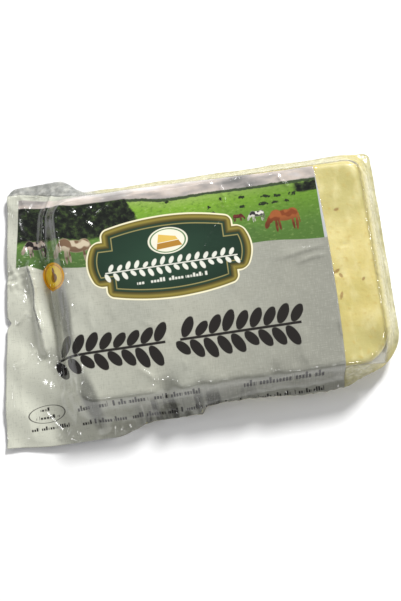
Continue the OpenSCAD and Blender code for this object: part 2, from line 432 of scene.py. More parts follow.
def makePiece(name, points, faces, materials, slotName):
    # a mesh in metres; the first of two materials is for the faces that look up, the second for the
    # rest, and the printed film also gets the flat print's places as its UV map
    mesh = bpy.data.meshes.new(name)
    mesh.from_pydata((points * millimetre).tolist(), [], faces)
    mesh.polygons.foreach_set("use_smooth", np.ones(len(mesh.polygons), bool))
    for material in materials:
        mesh.materials.append(material)
    mesh.update()
    if len(materials) > 1:
        facing = np.empty(len(mesh.polygons) * 3)
        mesh.polygons.foreach_get("normal", facing)
        mesh.polygons.foreach_set("material_index", (facing[2::3] < 0).astype(int))
    if slotName == "printed_film":
        corners = np.empty(len(mesh.loops), int)
        mesh.loops.foreach_get("vertex_index", corners)
        flat = np.stack(printPlace(points[:, 0], points[:, 1]), -1)[corners] * printScale
        mesh.uv_layers.new(name="print").data.foreach_set("uv", flat.ravel())
    piece = bpy.data.objects.new(name, mesh)
    bpy.context.scene.collection.objects.link(piece)
    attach(piece, "root")
    print(name, len(mesh.vertices), "points", len(mesh.polygons), "faces")
    return piece


def gridNormals(grid):
    # across product of the two grid directions, as unit vectors
    across = np.cross(np.gradient(grid, axis=0), np.gradient(grid, axis=1))
    return across / np.maximum(np.linalg.norm(across, axis=2, keepdims=True), 1e-9)


def shellFaces(keep):
    # faces of a closed shell over the kept cells of a grid: its upper side, its lower side, and a
    # rim along each cell side that has no kept neighbour
    rows = keep.shape[1] + 1
    size = (keep.shape[0] + 1) * rows
    index = np.arange(size).reshape(-1, rows)
    a, b, c, d = index[:-1, :-1], index[1:, :-1], index[1:, 1:], index[:-1, 1:]
    upper = np.stack([a, b, c, d], -1)[keep]
    framed = np.pad(keep, 1)
    sides = [
        (keep & ~framed[1:-1, :-2], a, b),
        (keep & ~framed[2:, 1:-1], b, c),
        (keep & ~framed[1:-1, 2:], c, d),
        (keep & ~framed[:-2, 1:-1], d, a),
    ]
    rims = [np.stack([q, p, p + size, q + size], -1)[open] for open, p, q in sides]
    return np.concatenate([upper, upper[:, ::-1] + size] + rims)


def tidyPoints(points, faces):
    # leaves out the points that no face uses
    used, places = np.unique(faces, return_inverse=True)
    return points[used], places.reshape(faces.shape).tolist()


def clustered(count, pull):
    # shares from 0 to 1, closer together near both ends the larger the pull
    t = np.linspace(0, 1, count)
    return t - pull * np.sin(2 * np.pi * t) / (2 * np.pi)


def sheetPlan(printColumns, clearColumns, printRows, clearRows):
    # x and y of every grid point of a film; a column lies on the print's end and a row on its rear
    printShares = clustered(printColumns + 1, 0.1)
    clearShares = clustered(clearColumns + 1, 0.25)
    across = np.concatenate([printShares, 1 + clearShares[1:]])
    along = np.concatenate([clustered(printRows + 1, 0.35), 1 + np.linspace(0, 1, clearRows + 1)[1:]])
    low, mid, high = frontEdge(-70.0), printRear(-64.0), rearEdge(-60.0)
    rough = np.where(along <= 1, mix(low, mid, along), mix(mid, high, along - 1))
    share = (rough + pouch["halfWidth"]) / (2 * pouch["halfWidth"])
    share = (share - share[0]) / (share[-1] - share[0])
    column, row = np.meshgrid(across, along, indexing="ij")
    edge = mouthEdge(share)[None, :]
    end = printEnd(rough)[None, :]
    far = pouch["halfLength"] - 0.12 - 0.2 * np.abs(noise(rough, rough * 0, 3.0, 11))[None, :]
    x = np.where(column <= 1, mix(edge, end, column), mix(end, far, column - 1))
    y = np.where(
        row <= 1,
        mix(frontEdge(x), printRear(x), row),
        mix(printRear(x), np.maximum(rearEdge(x), printRear(x) + 0.3), row - 1),
    )
    return x, y


def printPlace(x, y):
    # where a point of the film lies on the flat print; the flap draws its rear part back
    return x, y - pouch["printDraw"] * ease(-36, -64, x) * ease(-5, 25, y)


pores = [   # small slits in the cheese's top: x, y, half length, turn
    (56.4, -1.6, 1.6, 0.5),
    (57.6, -3.0, 1.0, 2.0),
    (56.8, -11, 1.8, 1.2),
    (61, 8, 1.2, 0.3),
]
poreWidth = 0.45


def poreDepth(x, y):
    # the slits' depth from 0 to 1: a bell along each one by a narrow bell across it
    depth = np.zeros(np.shape(x))
    for px, py, length, lean in pores:
        u = (x - px) * math.cos(lean) + (y - py) * math.sin(lean)
        v = (y - py) * math.cos(lean) - (x - px) * math.sin(lean)
        depth = depth + bell(u, 0, length) * bell(v, 0, poreWidth)
    return depth


def cheesePoints(around, capRings):
    # the block's outline carried along a profile: from the middle of its base out round the lower
    # edge, up the side, in round the upper edge and to the middle of its top; the rings on the side
    # and edges are true offsets of the outline, found by halving the interval between a radius
    # inside it and one outside, and the rings of a cap are its last one made smaller
    radius = block["edge"]
    height = block["top"] - block["base"]
    arc = np.radians(np.linspace(0, 90, 9))
    edgeIn = radius * (1 - np.sin(arc))
    edgeUp = radius * (1 - np.cos(arc))
    sideUp = radius + (height - 2 * radius) * np.linspace(0, 1, 12)[1:-1]
    inset = np.concatenate([edgeIn, 0 * sideUp, edgeIn[::-1]])
    up = np.concatenate([edgeUp, sideUp, height - edgeUp[::-1]])
    turn = np.linspace(0, 2 * np.pi, around, endpoint=False)[None, :]
    near = np.zeros((len(inset), around))
    far = near + block["length"]
    for halving in range(26):
        half = (near + far) / 2
        x = block["middle"] + half * np.cos(turn)
        y = block["offset"] + half * np.sin(turn)
        within = blockDistance(x, y, block["inset"]) < -inset[:, None]
        near = np.where(within, half, near)
        far = np.where(within, far, half)
    share = np.linspace(0, 1, capRings + 2)[1:-1, None]
    reach = np.concatenate([near[:1] * share, near, near[-1:] * share[::-1]])
    z = np.concatenate([0 * share[:, 0], up, height + 0 * share[:, 0]])[:, None] + 0 * turn
    x = block["middle"] + reach * np.cos(turn)
    y = block["offset"] + reach * np.sin(turn)
    grain = 0.05 * noise(x, y, 1.8, 61) + 0.12 * noise(x + z, y - z, 5.0, 62) - 0.17
    z = cheeseTop(x, y, z) + (grain - 0.55 * poreDepth(x, y)) * ease(height / 2, height, z)
    rings = np.stack([x, y, z], -1).reshape(-1, 3)
    ends = [[block["middle"], block["offset"], cap.mean()] for cap in (z[0], z[-1])]
    return np.concatenate([rings, ends]), len(z)


def ringFaces(rings, around):
    # quads between the rings, and a fan of triangles at each end
    index = np.arange(rings * around).reshape(rings, around)
    ahead = np.roll(index, -1, axis=1)
    quads = np.stack([index[:-1], ahead[:-1], ahead[1:], index[1:]], -1).reshape(-1, 4)
    first = rings * around
    lower = np.stack([np.full(around, first), ahead[0], index[0]], -1)
    upper = np.stack([np.full(around, first + 1), index[-1], ahead[-1]], -1)
    return quads.tolist() + lower.tolist() + upper.tolist()


# materials


def paint(red, green, blue):
    # a colour as a screen shows it, from 0 to 255, made the linear colour that a shader takes
    def linear(c):
        # the screen's curve: a power of 2.4, and a straight line for the darkest
        return (c / 255 + 0.055) ** 2.4 / 1.055 ** 2.4 if c > 10 else c / 3294.6

    return (linear(red), linear(green), linear(blue), 1.0)


class Wire:
    # one output of a material's nodes, on which sums can be written

    def __init__(self, tree, socket=None):
        self.tree = tree
        self.socket = socket

    def add(self, kind, settings=None, sockets=None, output=0):
        # any node: its settings first, then the values or links of its sockets
        node = self.tree.nodes.new("ShaderNode" + kind)
        for name, value in (settings or {}).items():
            if name == "stops":
                while len(node.color_ramp.elements) < len(value):
                    node.color_ramp.elements.new(0.5)
                for element, (place, colour) in zip(node.color_ramp.elements, value):
                    element.position = place
                    element.color = colour
            else:
                setattr(node, name, value)
        for name, value in (sockets or {}).items():
            if isinstance(value, Wire):
                self.tree.links.new(value.socket, node.inputs[name])
            else:
                node.inputs[name].default_value = value
        return Wire(self.tree, node.outputs[output])

    def maths(self, operation, *others, clamp=False):
        # one Math node, on this value and the others in their order
        sockets = dict(enumerate((self, *others)))
        return self.add("Math", {"operation": operation, "use_clamp": clamp}, sockets)

    # each operator adds one Math node

    def __add__(self, other):
        return self.maths("ADD", other)

    __radd__ = __add__

    def __sub__(self, other):
        return self.maths("SUBTRACT", other)

    def __rsub__(self, other):
        return self.add("Math", {"operation": "SUBTRACT"}, {0: other, 1: self})

    def __mul__(self, other):
        return self.maths("MULTIPLY", other)

    __rmul__ = __mul__

    def __truediv__(self, other):
        return self.maths("DIVIDE", other)

    def __pow__(self, other):
        return self.maths("POWER", other)

    def least(self, other):
        # the smaller of the two
        return self.maths("MINIMUM", other)

    def most(self, other):
        # the larger of the two
        return self.maths("MAXIMUM", other)

    def size(self):
        # without its sign
        return self.maths("ABSOLUTE")

    def cell(self):
        # the whole number at or under it
        return self.maths("FLOOR")

    def part(self):
        # what is left over that whole number
        return self.maths("FRACT")

    def below(self, limit, soft=0.2):
        # 1 where the value is under the limit, 0 over it, with a straight slope this wide between
        return self.maths("MULTIPLY_ADD", -1 / soft, limit / soft + 0.5, clamp=True)

    def above(self, limit, soft=0.2):
        # the other way round
        return self.maths("MULTIPLY_ADD", 1 / soft, 0.5 - limit / soft, clamp=True)

    def between(self, low, high):
        # 1 from low to high, by the distance from their middle
        return (self - (low + high) / 2).size().below((high - low) / 2, 0.3)

    def ease(self, start, end, low=0.0, high=1.0):
        # a smooth step from low at start to high at end
        sockets = {"Value": self, "From Min": start, "From Max": end, "To Min": low, "To Max": high}
        return self.add("MapRange", {"interpolation_type": "SMOOTHSTEP"}, sockets)

    def over(self, colour, mask):
        # this colour with another laid over it where the mask is 1
        return self.add("Mix", {"data_type": "RGBA"}, {"Factor": mask, 6: self, 7: colour}, 2)

    def blend(self, low, high):
        # a colour that goes from low where this value is 0 to high where it is 1
        return self.add("Mix", {"data_type": "RGBA"}, {"Factor": self, 6: low, 7: high}, 2)

    def ramp(self, *stops):
        # a colour from this value by stops, each a place and a colour, with straight slopes between
        return self.add("ValToRGB", {"stops": stops}, {0: self})

    def bump(self, strength):
        # a normal from this height in millimetres
        return self.add("Bump", None, {"Strength": strength, "Distance": millimetre, "Height": self})

    def placed(self, x, y, turn=0.0, wide=1.0, high=1.0, deep=1.0):
        # this place, seen from (x, y), turned, and in units of wide, high and deep
        sockets = {0: self, 1: (x, y, 0), 2: (0, 0, turn), 3: (wide, high, deep)}
        return self.add("Mapping", {"vector_type": "TEXTURE"}, sockets)

    def oval(self):
        # 1 at the middle of this place, falling evenly to 0 on the unit circle
        return self.add("TexGradient", {"gradient_type": "SPHERICAL"}, {0: self}, 1)

    def ovals(self, shapes):
        # the largest of several ovals, each given by x, y, turn, half width and half height
        reach = self.placed(*shapes[0]).oval()
        for shape in shapes[1:]:
            reach = reach.most(self.placed(*shape).oval())
        return reach

    def grain(self, scale, detail=2.0, rough=0.5):
        # soft random values round 0.5, scale of them to a unit
        sockets = {"Vector": self, "Scale": scale, "Detail": detail, "Roughness": rough}
        return self.add("TexNoise", None, sockets)

    def chance(self, seed):
        # a random number for each whole number
        return self.add("TexWhiteNoise", {"noise_dimensions": "1D"}, {"W": self + seed})

    def split(self):
        # x, y and z of a place
        outputs = self.add("SeparateXYZ", None, {0: self}).socket.node.outputs
        return [Wire(self.tree, output) for output in outputs]

    def joined(self, y, z=0.0):
        # a place from this x and another y and z
        return self.add("CombineXYZ", None, {0: self, 1: y, 2: z})


def newMaterial(name):
    # an empty material, its bare wire, and the place on the object in millimetres
    material = bpy.data.materials.new(name)
    material.use_nodes = True
    tree = material.node_tree
    tree.nodes.clear()
    start = Wire(tree)
    place = start.add("TexCoord", None, None, 3)
    return material, start, place.placed(0, 0, 0, millimetre, millimetre, millimetre)


def finish(start, shader):
    # the shader into the material's output
    output = start.tree.nodes.new("ShaderNodeOutputMaterial")
    start.tree.links.new(shader.socket, output.inputs["Surface"])


artwork = {     # places and sizes on the flat print, in millimetres
    "ink": paint(34, 31, 29),
    "cream": paint(226, 226, 214),
    "cows": [   # x, y, length, coat, patches, underside, 1 to face left or -1 to face right
        (-56.4, 22.4, 10.6, paint(206, 188, 172), paint(36, 29, 30), paint(70, 56, 46), 1),
        (-40.6, 21.4, 15.0, paint(204, 190, 164), paint(124, 98, 76), paint(58, 44, 34), 1),
        (39.9, 22.2, 13.4, paint(128, 66, 36), paint(156, 90, 50), paint(62, 34, 28), 1),
        (29.8, 24.4, 6.8, paint(216, 214, 204), paint(50, 50, 52), paint(120, 124, 100), 1),
        (22.6, 24.6, 4.6, paint(112, 52, 44), paint(90, 40, 38), paint(60, 34, 32), -1),
    ],
    "bushes": [     # x, y, width
        (-3.6, 34.0, 0.7), (12, 29.6, 0.7), (16.9, 32.2, 0.6), (25, 31.8, 1.1),
        (24.8, 28.2, 1.1), (13.4, 27.4, 0.8), (34.2, 30.9, 1.6), (38.3, 30.6, 1.3),
        (33, 28.3, 1.7), (37.1, 28.1, 1.2), (41.8, 28.0, 0.9), (44.6, 30.6, 1.4),
    ],
    "plaque": (-5.4, 13.3, math.radians(-0.8)),
    "plaqueLong": (25.4, 16.2, 3.4),    # half width, half height, what it loses towards its ends
    "plaqueHigh": (31.8, 9.0, 3.3),     # half width, half height, what it loses towards its ends
    "plaqueCorner": 2.6,
    "badge": (-50.5, 11.5, 0, 4.7, 4.7),
}
artwork["sprigs"] = [   # stem's y, pitch, leaf length, leaf thickness, start, end, ink, seed
    (-18.8, 5.2, 6.8, 2.1, -53, -11.6, artwork["ink"], 3),
    (-18.8, 5.2, 6.8, 2.1, -6, 40.2, artwork["ink"], 4),
    (10.2, 3.3, 2.8, 0.9, -30.4, 20.2, artwork["cream"], 9),
]
artwork["lines"] = [    # start, end, y, height, pitch, ink, seed
    (-19, 8, 4.6, 1.7, 1.15, artwork["cream"], 11),
    (-48.4, -1.0, -38.8, 2.0, 1.05, artwork["ink"], 17),
    (15.4, 47.6, -38.9, 2.2, 1.25, artwork["ink"], 23),
    (-48.4, 46.0, -44.0, 1.9, 0.95, artwork["ink"], 29),
    (-67.6, -52.6, -43.6, 1.7, 0.9, artwork["ink"], 31),
    (-63.2, -58.4, -36.4, 1.5, 1.1, artwork["ink"], 37),
    (-65.2, -56.0, -39.4, 1.6, 1.2, artwork["ink"], 41),
]
cowShapes = [   # x, y, turn, half width and half height of the ovals, as shares of a cow's length
    (0.02, 0.03, 0.0, 0.36, 0.17),      # trunk
    (0.25, 0.06, 0.0, 0.17, 0.17),
    (-0.22, 0.05, 0.0, 0.19, 0.18),
    (-0.39, -0.03, 0.9, 0.17, 0.10),    # neck
    (-0.5, -0.17, 1.2, 0.14, 0.075),    # head
    (-0.24, -0.24, 0.0, 0.045, 0.2),    # legs
    (-0.15, -0.22, 0.1, 0.04, 0.18),
    (0.24, -0.22, 0.1, 0.04, 0.2),
    (0.35, -0.22, -0.05, 0.045, 0.22),
    (0.42, -0.08, 0.1, 0.02, 0.17),     # tail
]


def boxDistance(x, y, halfX, halfY, radius):
    # distance outside a box with round corners, whose half sizes may change along it
    dx = x.size() - halfX + radius
    dy = y.size() - halfY + radius
    outer = (dx.most(0) ** 2 + dy.most(0) ** 2).maths("SQRT")
    return outer + dx.most(dy).least(0) - radius


def silverAndPaintedShade(spot, tone, linen):
    # silver ink in a linen weave, with painted light and shade: painted shade darkens it to the front
    # right, painted light brightens it at the left, and painted shade lies in dark pleats along the
    # front edge and in two dark hollows where the film leaves the block
    x, y = spot.split()[:2]
    silver = tone.ease(0.35, 0.65).blend(paint(166, 167, 155), paint(175, 175, 161))
    # painted shade: the silver darker towards the front right, where less light falls
    silver = silver.over(paint(143, 143, 133), (x - y * 0.4).ease(-10, 60, 0, 0.9))
    # painted light: the silver brighter towards the left, as if lit from that side
    silver = silver.over(paint(206, 207, 192), x.ease(-28, -58, 0, 0.85))
    # painted shade: dark streaks on the front band standing for the shade in its folds
    pleatShade = spot.placed(0, 0, 0.1, 3.4, 16).grain(1.0, 2.0).ease(0.62, 0.4, 0.25, 0.85)
    front = x.ease(-30, -20) * x.ease(28, 8) * y.ease(-37.5, -41) * pleatShade
    silver = silver.over(paint(66, 66, 62), front)
    # painted shade: two dark patches where the film's walls fall into shade beside the block
    hollowShade = spot.ovals([(-48.2, -2, 0.05, 3.4, 17), (-42.6, -36, 0.2, 4.2, 15)])
    silver = silver.over(paint(78, 79, 75), hollowShade.ease(0, 0.6, 0, 0.75))
    silver = silver.over(paint(134, 135, 124), linen.ease(1.02, 1.3, 0, 0.28))
    return silver.over(paint(190, 190, 178), linen.ease(0.98, 0.7, 0, 0.22))


def grazingCow(colour, spot, x, y, length, coat, patch, shade, facing):
    # a cow made of ovals, drawn in units of its own length, with patches where grain is high and a
    # dark underside
    at = spot.placed(x, y, 0, length * facing, length)
    body = at.ovals(cowShapes).above(0.1, 0.2)
    low = at.split()[1]
    mottle = (at.grain(3.2, 1.0) + at.placed(0.05, 0.1, 0, 0.5, 0.3).oval() * 0.12).above(0.54, 0.05)
    colour = colour.over(coat, body)
    colour = colour.over(patch, body * mottle)
    return colour.over(shade, body * low.below(-0.08, 0.2) * 0.55)


def landscape(spot):
    # sky over a horizon that rises to the left, a hedge along it, a field that darkens towards the
    # front, a wood, a copse, bushes and cows; grain makes the borders ragged
    x, y = spot.split()[:2]
    clouds = spot.placed(0, 0, 0, 18, 6).grain(1.0, 3.0)
    leaves = spot.grain(0.42, 3.0, 0.65)
    blades = spot.placed(0, 0, 0, 1.8, 0.9).grain(1.0, 2.0)
    horizon = x.ease(-2, -20, 35.4, 37.3) + clouds * 1.2 - 0.6
    sky = clouds.ramp(
        (0.3, paint(122, 121, 119)),
        (0.46, paint(166, 160, 156)),
        (0.58, paint(202, 190, 180)),
        (0.72, paint(206, 202, 202)),
    )
    field = ((horizon - y) * (1 / 22)).ramp(
        (0.0, paint(146, 172, 90)),
        (0.2, paint(124, 166, 54)),
        (0.45, paint(106, 146, 54)),
        (0.75, paint(88, 122, 62)),
        (1.0, paint(80, 110, 58)),
    )
    field = field.over(paint(70, 100, 44), blades.ease(0.52, 0.75, 0, 0.6))
    field = field.over(paint(170, 190, 120), blades.ease(0.44, 0.25, 0, 0.45))
    field = field.over(paint(78, 112, 42), x.ease(4, 46, 0, 0.5))
    scene = sky.over(field, (y - horizon).below(0, 0.3))
    hedge = (y - horizon + 0.9 - leaves * 1.1).size().below(0.55, 0.3)
    scene = scene.over(paint(62, 76, 52), hedge)
    trees = leaves.ramp(
        (0.36, paint(16, 19, 17)),
        (0.5, paint(30, 35, 28)),
        (0.62, paint(52, 66, 38)),
        (0.76, paint(84, 102, 54)),
    )
    wood = (x + y * 0.45 + leaves * 2.5).below(-0.9, 0.8) * (y - horizon).below(0.5, 0.4)
    scene = scene.over(trees, wood * (y + leaves * 3).above(25.6, 1.2))
    copse = (x + leaves * 3).above(47, 1.5) * (y + leaves * 1.6 - 33.4).size().below(1.9, 0.6)
    scene = scene.over(trees, copse)
    bushes = spot.ovals([(bx, by, 0, width * 1.5, 0.9) for bx, by, width in artwork["bushes"]])
    ragged = (bushes + (spot.grain(1.1, 2.0) - 0.5) * 2.2).above(0.32, 0.3)
    scene = scene.over(paint(40, 50, 32), ragged * bushes.above(0.04, 0.1))
    for cow in artwork["cows"]:
        scene = grazingCow(scene, spot, *cow)
    return scene


def pictureBand(colour, spot):
    # the landscape inside four borders that lean and bend a little, with a pale line at its right end
    x, y = spot.split()[:2]
    left = y * 0.17 - 67.9 - x
    lower = x.ease(30, 54, 13.7, 11.9) + x.ease(-54, -62, 0, 1.2) - y
    outside = left.most(lower).most(x - 53.9).most(y - x.ease(-42, -30, 41.2, 46.0))
    colour = colour.over(landscape(spot), outside.below(0, 0.25))
    return colour.over(paint(182, 184, 186), (x - 54.5).size().below(0.6, 0.2) * y.above(11.9, 0.3))


def greenPlaque(colour, spot):
    # a long box across a high one, each narrower towards its ends with the square of the distance;
    # from the outside in it is cream, gilt, green, pale and green again
    x, y = spot.placed(*artwork["plaque"]).split()[:2]
    wide, high, loss = artwork["plaqueLong"]
    alongX = x * (1 / wide)
    long = boxDistance(x, y, wide, alongX * alongX * -loss + high, artwork["plaqueCorner"])
    wide, high, loss = artwork["plaqueHigh"]
    alongY = y * (1 / high)
    tall = boxDistance(x, y, alongY * alongY * -loss + wide, high, artwork["plaqueCorner"])
    outside = long.least(tall)
    gilt = outside.maths("MULTIPLY_ADD", 0.4, 1.2).ramp(
        (0.0, paint(66, 60, 30)),
        (0.25, paint(96, 88, 44)),
        (0.55, paint(146, 132, 62)),
        (0.8, paint(120, 108, 48)),
        (1.0, paint(100, 90, 40)),
    )
    green = spot.placed(-8, 14, 0, 32, 16).oval().blend(paint(28, 48, 36), paint(44, 71, 54))
    colour = colour.over(paint(240, 234, 200), outside.below(0.0))
    colour = colour.over(gilt, outside.below(-0.6))
    colour = colour.over(paint(42, 62, 46), outside.below(-3.1))
    colour = colour.over(paint(150, 142, 92), outside.below(-3.9))
    return colour.over(green, outside.below(-4.3))


def cheeseEmblem(colour, spot):
    # a cream oval with a green line inside its rim, and a wedge of cheese between four straight sides
    oval = spot.placed(-5.2, 19.4, 0, 7.8, 5.2).oval()
    colour = colour.over(paint(238, 234, 214), oval.above(0.02, 0.04))
    colour = colour.over(paint(70, 116, 62), (oval - 0.14).size().below(0.035, 0.04))
    x, y = spot.placed(-5.4, 18.6, 0.06).split()[:2]
    outside = (y - 2.9 + x * 0.28).most(y * -1 - 1.9)
    outside = outside.most(x * -1 - 4.0 + y * 0.3).most(x - 4.4 + y * 0.5)
    wedge = outside.below(0, 0.2)
    colour = colour.over(paint(222, 186, 92), wedge)
    colour = colour.over(paint(176, 128, 52), wedge * y.below(0.4, 0.2))
    return colour.over(paint(238, 234, 214), (y - 0.4).size().below(0.12, 0.1) * wedge)


def sprig(colour, spot, base, pitch, leaf, thick, low, high, ink, seed):
    # a leafy sprig where a pack has its name: a stem, and oval leaves by turns over and under it,
    # each grown by a random share
    x, y = spot.split()[:2]
    for shift, side in ((0.0, 1), (0.5, -1)):
        cell = (x * (1 / pitch) + shift).cell()
        middle = (cell + (0.5 - shift)) * pitch
        grow = cell.chance(seed + shift) * 0.4 + 0.76
        leafSpot = (x - middle).joined((y - base) / grow)
        shape = leafSpot.placed(0, side * leaf * 0.6, side * 1.02, leaf * 0.62, thick).oval()
        colour = colour.over(ink, shape.above(0.1 / thick, 0.2 / thick) * middle.between(low, high))
    return colour.over(ink, (y - base).size().below(thick * 0.24, 0.2) * x.between(low, high))


def strokes(colour, spot, low, high, base, height, pitch, ink, seed):
    # small print as plain strokes, one to a cell: some are tall, some are left out, and gaps part
    # them into words
    x, y = spot.split()[:2]
    along = x * (1 / pitch)
    luck = along.cell().chance(seed)
    stroke = (along.part() - 0.45).size().below(0.36, 0.25)
    tall = luck.above(0.72, 0.02) * height * 0.3
    line = stroke * ((y - base - tall * 0.6).size() - tall * 0.6).below(height * 0.26, 0.3)
    words = (x * 0.142 + luck * 0.1).part().below(0.9, 0.02)
    return colour.over(ink, line * luck.above(0.1, 0.05) * words * x.between(low, high))


def yellowBadge(colour, spot):
    # a round badge, paler towards its middle, with a brown drop and an orange ring on it
    badge = spot.placed(*artwork["badge"])
    near = badge.oval()
    gold = near.ramp(
        (0.0, paint(212, 138, 28)),
        (0.1, paint(236, 172, 34)),
        (0.35, paint(248, 208, 52)),
        (1.0, paint(252, 228, 86)),
    )
    colour = colour.over(gold, near.above(0.03, 0.06))
    drop = badge.ovals([(0, -0.12, 0, 0.32, 0.36), (0, 0.2, 0, 0.14, 0.45)])
    colour = colour.over(paint(120, 72, 24), drop.above(0.1, 0.2))
    return colour.over(paint(196, 122, 30), (near - 0.2).size().below(0.03, 0.05))


weld = {"first": 1.0, "pitch": 0.9, "middle": 1.8, "half": 1.2}    # ribs, from the mouth's edge in


def weldRibs(place):
    # fine ribs that follow the mouth's slanting edge, one to a pitch, within a half of the middle
    x, y = place.split()[:2]
    slant = pouch["mouthSkew"] / (2 * pouch["halfWidth"])
    inwards = x - (y + pouch["halfWidth"]) * slant + pouch["halfLength"]
    ribs = ((inwards - weld["first"]) * (1 / weld["pitch"])).part().ease(0.2, 0.5)
    return ribs * (inwards - weld["middle"]).size().below(weld["half"], 0.3)


def printedFilm():
    # glossy print, layer over layer, with a relief of linen, fine crinkles and the weld's ribs
    material, start, place = newMaterial("printedFilm")
    spot = start.add("UVMap", {"uv_map": "print"}).placed(0, 0, 0, printScale, printScale)
    linen = spot.placed(0, 0, 0, 3, 0.4).grain(1.0, 1.0) + spot.placed(0, 0, 0, 0.4, 3).grain(1.0, 1.0)
    tone = spot.grain(0.035, 2.0)
    colour = silverAndPaintedShade(spot, tone, linen)
    colour = pictureBand(colour, spot)
    colour = greenPlaque(colour, spot)
    colour = cheeseEmblem(colour, spot)
    for row in artwork["sprigs"]:
        colour = sprig(colour, spot, *row)
    for row in artwork["lines"]:
        colour = strokes(colour, spot, *row)
    ring = spot.placed(-60.7, -38.0, 0.02, 7.6, 3.5).oval()
    colour = colour.over(artwork["ink"], (ring - 0.06).size().below(0.03, 0.05))
    colour = yellowBadge(colour, spot)
    relief = place.grain(0.55, 3.0, 0.6) * 0.05 + linen * 0.012 + weldRibs(place) * 0.05
    shader = start.add("BsdfPrincipled", None, {
        "Base Color": colour,
        "Roughness": tone * 0.08 + 0.07,
        "Specular IOR Level": 0.75,
        "IOR": 1.5,
        "Normal": relief.bump(0.6),
    })
    finish(start, shader)
    return material


def filmBack():
    # the laminate's inner face, a plain grey
    material, start, place = newMaterial("filmBack")
    tone = place.grain(0.05, 2.0)
    shader = start.add("BsdfPrincipled", None, {
        "Base Color": tone.blend(paint(196, 196, 188), paint(214, 214, 206)),
        "Roughness": tone * 0.2 + 0.2,
        "Normal": (place.grain(0.5) * 0.1).bump(0.5),
    })
    finish(start, shader)
    return material


clearLook = {
    "roughness": 0.07,
    "straightOn": 0.075,    # the sheen's share seen straight on, and what it gains at a slant
    "slanting": 0.85,
    "crinkle": 0.06,
    "flapMilk": 0.85,       # how milky the flap and the whey between the films are
    "wheyMilk": 0.95,
}


def clearFilm(name, gloss):
    # clear film with a sheen that grows with the fifth power of the slant; where the films lie on
    # each other they look milky: grey at the mouth, and creamy with whey round the block
    material, start, place = newMaterial(name)
    x, y = place.split()[:2]
    normal = (place.grain(0.6, 3.0, 0.6) * clearLook["crinkle"]).bump(0.5)
    film = start.add("BsdfTransparent", None, {"Color": (0.985, 0.985, 0.975, 1)})
    if gloss:
        shine = {"Color": (1, 1, 1, 1), "Roughness": clearLook["roughness"], "Normal": normal}
        slant = start.add("LayerWeight", None, {"Blend": 0.5, "Normal": normal}, 1)
        share = slant ** 5 * clearLook["slanting"] + clearLook["straightOn"]
        film = start.add("MixShader", None, {0: share, 1: film, 2: start.add("BsdfGlossy", None, shine)})
    flap = x.ease(-26, -38)
    rear = y.ease(40.2, 41.4) * x.ease(-36, -28)
    whey = x.ease(70.2, 72.6).most(rear).most(y.ease(-37.4, -38.4))
    cream = place.placed(0, 0, 0, 2, 9, 2).grain(1.0, 3.0).ramp(
        (0.3, paint(170, 163, 116)),
        (0.5, paint(187, 181, 136)),
        (0.7, paint(208, 203, 168)),
    )
    grey = place.grain(0.4).ramp(
        (0.3, paint(136, 138, 134)),
        (0.5, paint(160, 161, 156)),
        (0.7, paint(190, 190, 182)),
    )
    cream = cream.over(paint(204, 192, 128), x.ease(76.0, 73.0) * x.ease(60, 70) * 0.7)
    milk = start.add("BsdfPrincipled", None, {
        "Base Color": cream.over(grey, flap),
        "Roughness": place.grain(0.5) * 0.2 + 0.15,
        "Normal": normal,
    })
    patchy = place.grain(0.45, 2.0).ease(0.25, 0.75, 0.7, 1.2)
    cloudy = (flap * clearLook["flapMilk"]).most(whey * clearLook["wheyMilk"]) * patchy + 0.015
    finish(start, start.add("MixShader", None, {0: cloudy.least(0.95), 1: film, 2: milk}))
    return material


cracks = [      # brown cracks in the cheese's top: x, y, turn, length
    (56.4, -1.6, 0.5, 2.2),
    (57.8, -3.4, 2.0, 1.3),
    (56.8, -11, 1.2, 2.0),
    (60, 22, 0.2, 1.4),
    (66, -6, 0.9, 1.1),
]


def cheeseBody():
    # pale cheese: a ramp on broad grain, painted shade darker towards two corners, pale streaks that are
    # partly milky cheese and partly painted highlight, darker specks of fine grain, and cracks that show
    # only near the top
    material, start, place = newMaterial("halloumiCheese")
    fine = place.grain(0.5, 3.0, 0.6)
    stretched = start.add("VectorMath", {"operation": "MULTIPLY"}, {0: place, 1: (0.24, 0.11, 0.24)})
    body = place.grain(0.06, 3.0).ramp(
        (0.3, paint(210, 196, 121)),
        (0.5, paint(222, 206, 134)),
        (0.7, paint(232, 218, 153)),
    )
    x, y, z = place.split()
    top = x.joined(y)       # the place seen from above, so that a spot goes straight down
    # painted shade: the cheese darker towards two corners of the window
    ends = top.ovals([(64, 30, 0, 18, 22), (64, -34, 0.4, 16, 18)])
    body = body.over(paint(196, 188, 124), ends.ease(0, 0.7, 0, 0.7))
    # pale streaks: partly the cheese's milky tone, partly painted highlight for glare off the film's
    # folds
    body = body.over(paint(238, 229, 176), stretched.grain(1.0, 2.0).ease(0.44, 0.74, 0, 0.5))
    body = body.over(paint(206, 178, 94), fine.ease(0.54, 0.72, 0, 0.55))
    for crackX, crackY, lean, length in cracks:
        crack = top.placed(crackX, crackY, lean, length * 1.2, 0.9).oval() * fine * 2
        body = body.over(paint(146, 102, 46), crack.ease(0.2, 0.6, 0, 0.7) * z.ease(12, 18))
    shader = start.add("BsdfPrincipled", None, {
        "Base Color": body,
        "Roughness": fine * 0.2 + 0.3,
        "Subsurface Weight": 0.12,
        "Subsurface Radius": (0.004, 0.003, 0.0015),
        "Subsurface Scale": 1.0,
        "Normal": (fine * 0.25).bump(0.5),
    })
    finish(start, shader)
    return material


